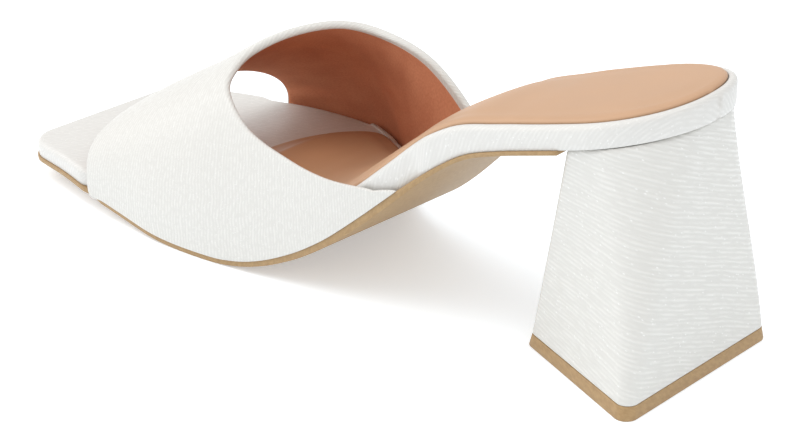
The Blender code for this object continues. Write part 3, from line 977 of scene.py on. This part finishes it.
# The footbed's side from its turned-under edge up, then its rounded shoulder.
FOOTBED_SIDE = [
    Step(1.2, 0.0, 8.0),
    Step(0.6 * FOOTBED_TUCK, 0.0, 7.4),
    Step(0.35 * FOOTBED_TUCK, 0.15, 7.1),
    Step(0.2 * FOOTBED_TUCK, 0.9, 6.2),
    Step(0.05 * FOOTBED_TUCK, 1.5, 5.6),
    Step(0.0, 2.2, 4.9),
]
SHOULDER_STEPS = 7
SHOULDER_WIDTH = 2.7    # width of cloth round the shoulder
FIRST_FOLDED = 9        # the fold in the cover starts at this level
GROOVE_FRONT = 168.0    # the rim dips to the sock behind this,
SINK_FRONT = 150.0      # and the sock sinks into the groove behind this,
GROOVE_FADE = 16.0      # each over this length

FLAP_HEIGHT = 0.9       # the fold's height at its front edge
FLAP_INNER = -41.5      # x where the fold begins
FLAP_WIDTH = 3.0        # and the width over which it rises
FLAP_FRONT = 163.9      # s at the fold's front edge
FLAP_EDGE = 1.3         # and the length of that edge
FLAP_FALL = 161.5       # behind this the fold sinks back into the cover
FLAP_LENGTH = 8.0       # over this length


def cover_fold(x, s):
    """Height of the small flat fold in the footbed's cover, on the inner side of the ball."""
    flap = smooth_step((FLAP_INNER - x) / FLAP_WIDTH)
    flap *= smooth_step((FLAP_FRONT - s) / FLAP_EDGE)
    return FLAP_HEIGHT * flap * (1.0 - smooth_step((FLAP_FALL - s) / FLAP_LENGTH))


class MULE_OT_footbed(bpy.types.Operator):
    """Build the footbed: a board wrapped in shimmer cloth, with a soft rim round the sock"""

    bl_idname = "mule.footbed"
    bl_label = "Build Footbed"

    def execute(self, context):
        settings = context.scene.mule
        groove = settings.sock.groove / MM
        layer = Layer(FOOTBED_INSET, SEAT_DEPTH, LENGTH - FOOTBED_INSET, 0.0, TOE_CORNER,
                      footbed_inset)

        def side(rise):
            return lambda s: sole_thickness(s) + GAP + rise

        def from_top(depth):
            return lambda s: footbed_top(s) - depth

        def dipped(depth):
            # The rim dips to the sock only along the sock, not at the bare toe.
            return lambda s: (footbed_top(s)
                              - depth * smooth_step((GROOVE_FRONT - s) / GROOVE_FADE))

        levels = [Level(step.inset, side(step.rise), sole_bank, step.unrolled)
                  for step in FOOTBED_SIDE]
        for step in range(SHOULDER_STEPS + 1):
            angle = math.pi / 2 * step / SHOULDER_STEPS
            levels.append(Level(FOOTBED_ROUND * (1 - math.cos(angle)),
                                from_top(FOOTBED_ROUND * (1 - math.sin(angle))), footbed_bank,
                                SHOULDER_WIDTH * (1 - step / SHOULDER_STEPS)))
        for inset, depth in ((FOOTBED_ROUND + 0.35, 0.04), (SOCK_INSET - 0.25, 0.5 * groove),
                             (SOCK_INSET + 0.15, groove), (SOCK_INSET + 1.4, groove)):
            levels.append(Level(inset, dipped(depth), footbed_bank, 0.0))

        def shape(x, s, z, level):
            folded = FIRST_FOLDED <= level < len(levels) - 1
            return x, s, z + (cover_fold(x, s) if folded else 0.0)

        made = layer_object("footbed_wrap", layer, levels,
                            [wrapped_cloth_material(settings.cloth)], -30.0, 16,
                            lambda x, s, across: cover_fold(x, s), shape)
        hand_over(made, "footbed")
        return {"FINISHED"}


# The sock's cut edge, from the footbed up to where the foam starts.
SOCK_EDGE = [
    Step(0.35, 0.0, 0.0),
    Step(0.05, 0.25, 0.0),
    Step(0.0, 0.5, 0.0),
    Step(0.12, 0.85, 0.0),
    Step(0.5, 1.2, 0.0),
    Step(1.1, 1.45, 0.0),
    Step(2.2, 1.65, 0.0),
]
SOCK_LIFT = 0.15        # the sock's lower edge over the footbed, before it sinks in
CROWN_REACH = 6.0       # the foam's crown grows over this width
CUSHION_HEIGHT = 1.1    # the cushion under the ball ends in a low step
CUSHION_SIDE = 3.5      # width of that step at the sides
CUSHION_FRONT = 4.5     # how far it stays behind the front of the sock's flat top
CUSHION_EDGE = 4.0      # length of the step there
CUSHION_BACK = 70.0     # the cushion grows from here forward
CUSHION_GROWTH = 35.0   # over this length


class MULE_OT_sock(bpy.types.Operator):
    """Build the sock: tan coated cloth over thin foam, thicker under the ball"""

    bl_idname = "mule.sock"
    bl_label = "Build Sock"

    def execute(self, context):
        settings = context.scene.mule
        groove = settings.sock.groove / MM

        def inset(s):
            return footbed_inset(s) + SOCK_INSET

        back = FOOTBED_INSET + SOCK_INSET
        top_inset = SOCK_EDGE[-1].inset
        layer = Layer(back, SEAT_DEPTH - SOCK_INSET, SOCK_FRONT, SOCK_ROUND, 0.0, inset)

        def height(value):
            def level(s):
                sunk = (groove - 0.1) * smooth_step((SINK_FRONT - s) / GROOVE_FADE)
                return footbed_top(s) + SOCK_LIFT + value - sunk
            return level

        def padding(x, s, across):
            # Foam starts well inside the sock's edge.
            lateral, medial = half_widths(layer, s, top_inset)
            side, front = (lateral - medial) / 2 * (1 - across), SOCK_FRONT - top_inset - s
            margins = side, s - back - top_inset, front
            if min(margins) < 0.01:
                return 0.0
            inside = sum(margin ** -2 for margin in margins) ** -0.5
            crown = sock_padding(s) * (1 - across ** 2) * smooth_step(inside / CROWN_REACH)
            step = smooth_step(side / CUSHION_SIDE)
            step *= smooth_step((front - CUSHION_FRONT) / CUSHION_EDGE)
            grown = smooth_step((s - CUSHION_BACK) / CUSHION_GROWTH)
            return crown + CUSHION_HEIGHT * step * grown

        levels = [Level(step.inset, height(step.rise), footbed_bank, step.unrolled)
                  for step in SOCK_EDGE]
        made = layer_object("padded_sock", layer, levels,
                            [coated_sock("coated_sock_tan", settings.sock.colour)], 0.0, 32,
                            padding)
        hand_over(made, "insole_sock")
        return {"FINISHED"}


# The sheet's eased lower edge, over its underside, and its upper edge, over its top.
SHEET_FOOT = [Step(0.5, 0.0, 2.0), Step(0.2, 0.08, 1.7), Step(0.0, 0.35, 1.4)]
SHEET_TOP = [Step(0.0, -0.2, 0.5), Step(0.1, 0.0, 0.0), Step(0.8, 0.0, -0.5)]
CEMENT = GAP - 0.03     # nearly fills the hairline gap over the sheet
CORNER_TUCK = 1.4       # the sheet draws in by this many times the band's swell
TUCK_REACH = 2.6        # and over this length


class MULE_OT_outsole(bpy.types.Operator):
    """Build the outsole: pressed tan sheet, skived thin where it meets the heel"""

    bl_idname = "mule.outsole"
    bl_label = "Build Outsole"

    def execute(self, context):
        swell = context.scene.mule.band.swell / MM

        def corner(x, s, z, level):
            # The sheet draws in under the band's swelling front corner.
            if x > 0:
                x -= CORNER_TUCK * swell * bump(s, toe_edge(0.0) - 0.7, TUCK_REACH)
            return x, s, z

        def from_foot(lift):
            return lambda s: lift

        def from_top(lift):
            return lambda s: sole_thickness(s) + CEMENT + lift

        layer = Layer(SOLE_BACK, 0.0, LENGTH, 0.0, TOE_CORNER, lambda s: 0.0)
        levels = [Level(step.inset, from_foot(step.rise), sole_bank, step.unrolled)
                  for step in SHEET_FOOT]
        levels += [Level(step.inset, from_top(step.rise), sole_bank, step.unrolled)
                   for step in SHEET_TOP]
        made = layer_object("outsole_sheet", layer, levels, [tan_material()], 0.0, 1,
                            lambda x, s, across: 0.0, corner)
        hand_over(made, "outsole")
        return {"FINISHED"}


def rounded_corner(before, corner, after, radius, steps):
    """Points of an arc that rounds a corner of a plan."""
    def unit_to(point):
        dx, dy = point[0] - corner[0], point[1] - corner[1]
        length = math.hypot(dx, dy)
        return dx / length, dy / length

    ax, ay = unit_to(before)
    bx, by = unit_to(after)
    half = math.acos(ax * bx + ay * by) / 2
    bisector = math.hypot(ax + bx, ay + by)
    reach = radius / math.sin(half)
    centre = (corner[0] + (ax + bx) / bisector * reach, corner[1] + (ay + by) / bisector * reach)
    run = radius / math.tan(half)
    start = math.atan2(corner[1] + ay * run - centre[1], corner[0] + ax * run - centre[0])
    end = math.atan2(corner[1] + by * run - centre[1], corner[0] + bx * run - centre[0])
    sweep = (end - start + math.pi) % (2 * math.pi) - math.pi
    return [(centre[0] + radius * math.cos(start + sweep * i / steps),
             centre[1] + radius * math.sin(start + sweep * i / steps)) for i in range(steps + 1)]


FRONT_STEPS = 8         # steps round each front corner of the heel
BACK_STEPS = 26         # and round each back corner
FLAT_STEPS = 14         # and along each straight side
HEEL_STEPS = 60         # and up the heel
NEAR_CORNER = FRONT_STEPS + 2 * FLAT_STEPS + BACK_STEPS + BACK_STEPS // 2
TAPER_INSET = 1.2       # the sides taper, so their ends move in by more than the inset
TIP_EXTRA = 0.25        # the tip fills the hairline gap and laps the cover's turned edge
RIB_TURN = 4.0          # the ribs change their slope over this width at the outer back corner
SIDE_SLOPE = 0.12       # from there they rise by this much forward on the outer side,
BACK_SLOPE = 0.36       # and fall by this much round the back
HEEL_STREAKS = 0.6      # the cloth's streaks are drawn longer on the heel,
STREAK_LEAN = 0.2       # and lean by this much


def heel_section(t, inset):
    """Closed plan of the heel, t from the floor (0) to the seat (1), pulled in by inset."""
    section = HeelSection(*(mix(a, b, t) for a, b in zip(HEEL_BASE, HEEL_SEAT)))
    back_round = mix(HEEL_BASE.round, HEEL_SEAT.round, t ** HEEL_FLARE_POWER) - inset
    front_half = section.front_half - TAPER_INSET * inset
    back_half = section.back_half - TAPER_INSET * inset
    front, front_round = section.front - inset, HEEL_FRONT_ROUND - inset
    corners = [
        (section.centre - front_half, front, front_round, FRONT_STEPS),
        (section.centre - back_half, section.back + inset, back_round, BACK_STEPS),
        (section.centre + back_half, section.back + inset, back_round, BACK_STEPS),
        (section.centre + front_half, front, front_round, FRONT_STEPS),
    ]
    points = []
    for i, (x, s, radius, steps) in enumerate(corners):
        arc = rounded_corner(corners[i - 1][:2], (x, s), corners[(i + 1) % 4][:2], radius, steps)
        if points:
            last_x, last_s = points[-1]
            points.extend((mix(last_x, arc[0][0], k / FLAT_STEPS),
                           mix(last_s, arc[0][1], k / FLAT_STEPS)) for k in range(1, FLAT_STEPS))
        points.extend(arc)
    return points


# A ring of the heel: at level 0 it lies at its height, at level 1 against the seat.
HeelRing = namedtuple("HeelRing", "height level inset")


def heel_object(name, rings, materials):
    """A closed stack of heel sections, one at each ring."""
    grid = Grid()
    rows = []
    for item in rings:
        loop = heel_section(mix(item.height / SEAT_HEIGHT, 1.0, item.level), item.inset)
        lengths = [0.0]
        for (xa, sa), (xb, sb) in zip(loop, loop[1:]):
            lengths.append(lengths[-1] + math.hypot(xb - xa, sb - sa))
        row, cloth = [], []
        for (x, s), length in zip(loop, lengths):
            top = above(s, sole_thickness(s)) + banked(x, s, sole_bank)
            z = mix(item.height, top, item.level)
            past = length - lengths[NEAR_CORNER]
            soft = math.hypot(past, RIB_TURN)
            fall = BACK_SLOPE * (soft - past) / 2 - SIDE_SLOPE * (soft + past) / 2
            row.append(to_world(x, s, z))
            cloth.append((z + fall, HEEL_STREAKS * past - STREAK_LEAN * z))
        rows.append(grid.add_row(row, cloth))
    for low, high in zip(rows, rows[1:]):
        grid.join(low, high, closed=True)
    grid.face(rows[0])
    grid.face(rows[-1])
    return grid.build(name, materials)


class MULE_OT_heel(bpy.types.Operator):
    """Build the heel: a moulded block covered in shimmer cloth, turned under at its foot"""

    bl_idname = "mule.heel"
    bl_label = "Build Heel"

    def execute(self, context):
        foot = LIFT_THICKNESS + TIP_EXTRA + 0.02
        side = foot + 0.4
        rings = [HeelRing(foot, 0.0, 1.2), HeelRing(foot, 0.0, 0.4),
                 HeelRing(foot + 0.1, 0.0, 0.14), HeelRing(side, 0.0, 0.0)]
        rings += [HeelRing(side, k / HEEL_STEPS, 0.0) for k in range(1, HEEL_STEPS)]
        rings += [HeelRing(side, 1.0, 0.15), HeelRing(side, 1.0, 1.0)]
        made = heel_object("heel_cover_block", rings, [cloth_material(context.scene.mule.cloth)])
        hand_over(made, "heel")
        return {"FINISHED"}


class MULE_OT_heel_tip(bpy.types.Operator):
    """Build the heel tip: a pressed rubber plate with eased edges"""

    bl_idname = "mule.heel_tip"
    bl_label = "Build Heel Tip"

    def execute(self, context):
        top = LIFT_THICKNESS + TIP_EXTRA
        rings = [HeelRing(0.0, 0.0, 1.2), HeelRing(0.0, 0.0, 0.05), HeelRing(0.12, 0.0, -0.2),
                 HeelRing(0.35, 0.0, -0.3), HeelRing(top / 2, 0.0, -0.15),
                 HeelRing(top - 0.15, 0.0, 0.0), HeelRing(top - 0.03, 0.0, 0.05),
                 HeelRing(top, 0.0, 0.15), HeelRing(top, 0.0, 1.2)]
        made = heel_object("heel_tip_plate", rings, [tan_material()])
        hand_over(made, "top_piece")
        return {"FINISHED"}


# Places and sizes on the stage, in metres.
FLOOR_REACH = 3.0
SHOE_MIDDLE = Vector((0.0, 0.0, 0.035))
KEY_PLACE, KEY_SIZE = Vector((0.45, -0.90, 0.80)), 0.8
FILL_PLACE, FILL_SIZE = Vector((0.15, 0.15, 1.20)), 1.0
SIDE_PLACE, SIDE_SIZE = Vector((1.15, 0.66, 0.25)), 0.25
CARD_PLACE, CARD_SIZE = Vector((0.0, -0.036, 0.040)), 0.022

# The camera in the shoe's millimetres, behind the back of the seat on the outer side.
CAMERA_X = 360.164
CAMERA_S = -244.923
CAMERA_HEIGHT = 240.973
CAMERA_ROLL = math.radians(-1.753)
CAMERA_SHIFT = (-0.0081, 0.0011)


def build_table(scene, studio):
    """Light table: cast opal acrylic, lit a little from below, so that shadows stay pale."""
    material, _, shader = new_material("opal_acrylic_light_table", 0.9, 1.49)
    shader.inputs["Base Color"].default_value = (0.885, 0.925, 0.95, 1.0)
    shader.inputs["Specular IOR Level"].default_value = 0.0
    shader.inputs["Emission Color"].default_value = (0.88, 0.93, 1.0, 1.0)
    shader.inputs["Emission Strength"].default_value = studio.table
    data = bpy.data.meshes.new("floor")
    reach = FLOOR_REACH
    data.from_pydata([(-reach, -reach, 0), (reach, -reach, 0), (reach, reach, 0),
                      (-reach, reach, 0)], [], [(0, 1, 2, 3)])
    data.materials.append(material)
    floor = bpy.data.objects.new("floor", data)
    scene.collection.objects.link(floor)


def build_lights(scene, studio):
    """A white surround, three softboxes, and a small warm card under the band's arch."""
    world = bpy.data.worlds.new("white_surround")
    scene.world = world
    world.use_nodes = True
    background = world.node_tree.nodes["Background"]
    background.inputs["Color"].default_value = (1.0, 1.0, 1.0, 1.0)
    background.inputs["Strength"].default_value = studio.ambient
    scene.view_settings.view_transform = "Standard"
    for name, place, size, power in (("key_softbox", KEY_PLACE, KEY_SIZE, studio.key),
                                     ("fill_softbox", FILL_PLACE, FILL_SIZE, studio.fill),
                                     ("side_softbox", SIDE_PLACE, SIDE_SIZE, studio.side)):
        lamp = bpy.data.lights.new(name, "AREA")
        lamp.shape = "SQUARE"
        lamp.size = size
        lamp.energy = power
        made = bpy.data.objects.new(name, lamp)
        made.location = place
        made.rotation_euler = (SHOE_MIDDLE - place).to_track_quat("-Z", "Y").to_euler()
        scene.collection.objects.link(made)

    # The card opens the shade on the sock.
    card = bpy.data.lights.new("arch_card", "AREA")
    card.energy = studio.card
    card.size = CARD_SIZE
    card.color = (1.0, 0.78, 0.6)
    made = bpy.data.objects.new("arch_card", card)
    made.location = CARD_PLACE
    made.visible_camera = False
    scene.collection.objects.link(made)


def build_camera(scene, studio):
    """A long lens, a little above the shoe on its outer side and behind its heel."""
    data = bpy.data.cameras.new("camera")
    data.sensor_width = 36.0
    data.lens = studio.lens
    data.shift_x, data.shift_y = CAMERA_SHIFT
    data.clip_start = 0.02
    heading, tilt = studio.azimuth, studio.elevation
    back = Vector((math.sin(heading) * math.cos(tilt), -math.cos(heading) * math.cos(tilt),
                   math.sin(tilt)))
    right = Vector((math.cos(heading), math.sin(heading), 0.0))
    up = back.cross(right)
    cosine, sine = math.cos(CAMERA_ROLL), math.sin(CAMERA_ROLL)
    right, up = cosine * right + sine * up, cosine * up - sine * right
    turn = Matrix((right, up, back)).transposed().to_4x4()
    place = to_world(CAMERA_X, CAMERA_S, CAMERA_HEIGHT)
    camera = bpy.data.objects.new("camera", data)
    camera.matrix_world = Matrix.Translation(place) @ turn
    scene.collection.objects.link(camera)
    scene.camera = camera


class MULE_OT_stage(bpy.types.Operator):
    """Build the stage: pale floor, soft light and the camera"""

    bl_idname = "mule.stage"
    bl_label = "Build Stage"

    def execute(self, context):
        scene = context.scene
        build_table(scene, scene.mule.studio)
        build_lights(scene, scene.mule.studio)
        build_camera(scene, scene.mule.studio)
        return {"FINISHED"}


class MULE_PT_panel(bpy.types.Panel):
    """Settings and build steps of the mule"""

    bl_label = "Block Heel Mule"
    bl_idname = "MULE_PT_panel"
    bl_space_type = "VIEW_3D"
    bl_region_type = "UI"
    bl_category = "Mule"

    def draw(self, context):
        settings = context.scene.mule
        for group in (settings.cloth, settings.band, settings.sock, settings.studio):
            box = self.layout.box()
            for name in group.bl_rna.properties.keys():
                if name not in ("rna_type", "name"):
                    box.prop(group, name)
        for operator in STEPS:
            self.layout.operator(operator.bl_idname)


STEPS = (MULE_OT_outsole, MULE_OT_footbed, MULE_OT_sock, MULE_OT_band, MULE_OT_heel,
         MULE_OT_heel_tip, MULE_OT_stage)
CLASSES = (ClothSettings, BandSettings, SockSettings, StudioSettings, MuleSettings, *STEPS,
           MULE_PT_panel)


def register():
    """Register the classes and the settings."""
    for item in CLASSES:
        bpy.utils.register_class(item)
    bpy.types.Scene.mule = bpy.props.PointerProperty(type=MuleSettings)


def unregister():
    """Take them away again."""
    del bpy.types.Scene.mule
    for item in reversed(CLASSES):
        bpy.utils.unregister_class(item)


def main():
    """Build the shoe and its stage."""
    register()
    for step in STEPS:
        group, name = step.bl_idname.split(".")
        result = getattr(getattr(bpy.ops, group), name)()
        if result != {"FINISHED"}:
            raise RuntimeError(step.bl_label + " did not finish")


if __name__ == "__main__":
    main()
